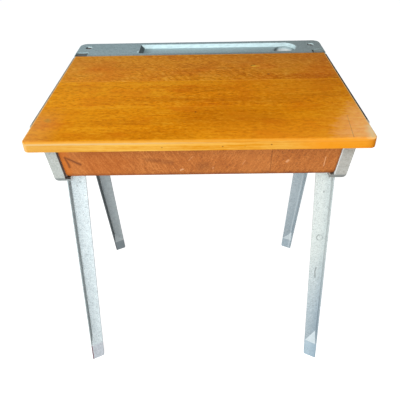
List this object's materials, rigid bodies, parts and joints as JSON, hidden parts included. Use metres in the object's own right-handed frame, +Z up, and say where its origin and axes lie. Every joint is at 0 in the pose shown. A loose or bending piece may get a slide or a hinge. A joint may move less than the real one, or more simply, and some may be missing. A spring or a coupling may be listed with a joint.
{
  "type": "school desk",
  "caption": "Single school desk with a hinged wooden lid over a book box, raked cast side frames, and a rear rail with a pen trough and inkwell hole.",
  "frame": {"origin": "on the floor, under the middle of the desk's bounding box", "axes": "+X to the sitter's right, +Y from the sitter to the rear rail, +Z up"},
  "size_m": [0.6186, 0.49, 0.67],
  "materials": {
    "cast_aluminium": "sand-cast, dull grey with a fine speckle",
    "beech": "golden orange satin varnish",
    "plywood": "reddish stained veneer, worn varnish",
    "steel": "dull plated steel"
  },
  "bodies": {
    "frame": {"side_frame_left": "cast_aluminium", "side_frame_right": "cast_aluminium", "back_rail": "cast_aluminium", "front_panel": "plywood", "back_panel": "plywood", "bottom_panel": "plywood", "hinge_pin_left": "steel", "hinge_pin_right": "steel", "rail_bolts": "steel", "rail_nuts": "steel", "bottom_screws": "steel"},
    "lid": {"lid_board_front": "beech", "lid_board_middle": "beech", "lid_board_rear": "beech", "lid_cleat_left": "beech", "lid_cleat_right": "beech", "hinge_strap_left": "steel", "hinge_strap_right": "steel", "strap_screws": "steel", "cleat_screws": "steel"}
  },
  "joints": [
    {"name": "lid_hinge", "type": "hinge", "parent": "frame", "child": "lid", "pos_m": [0, 0.174, 0.664], "axis": [-1, 0, 0], "range_deg": [0, 110]}
  ]
}
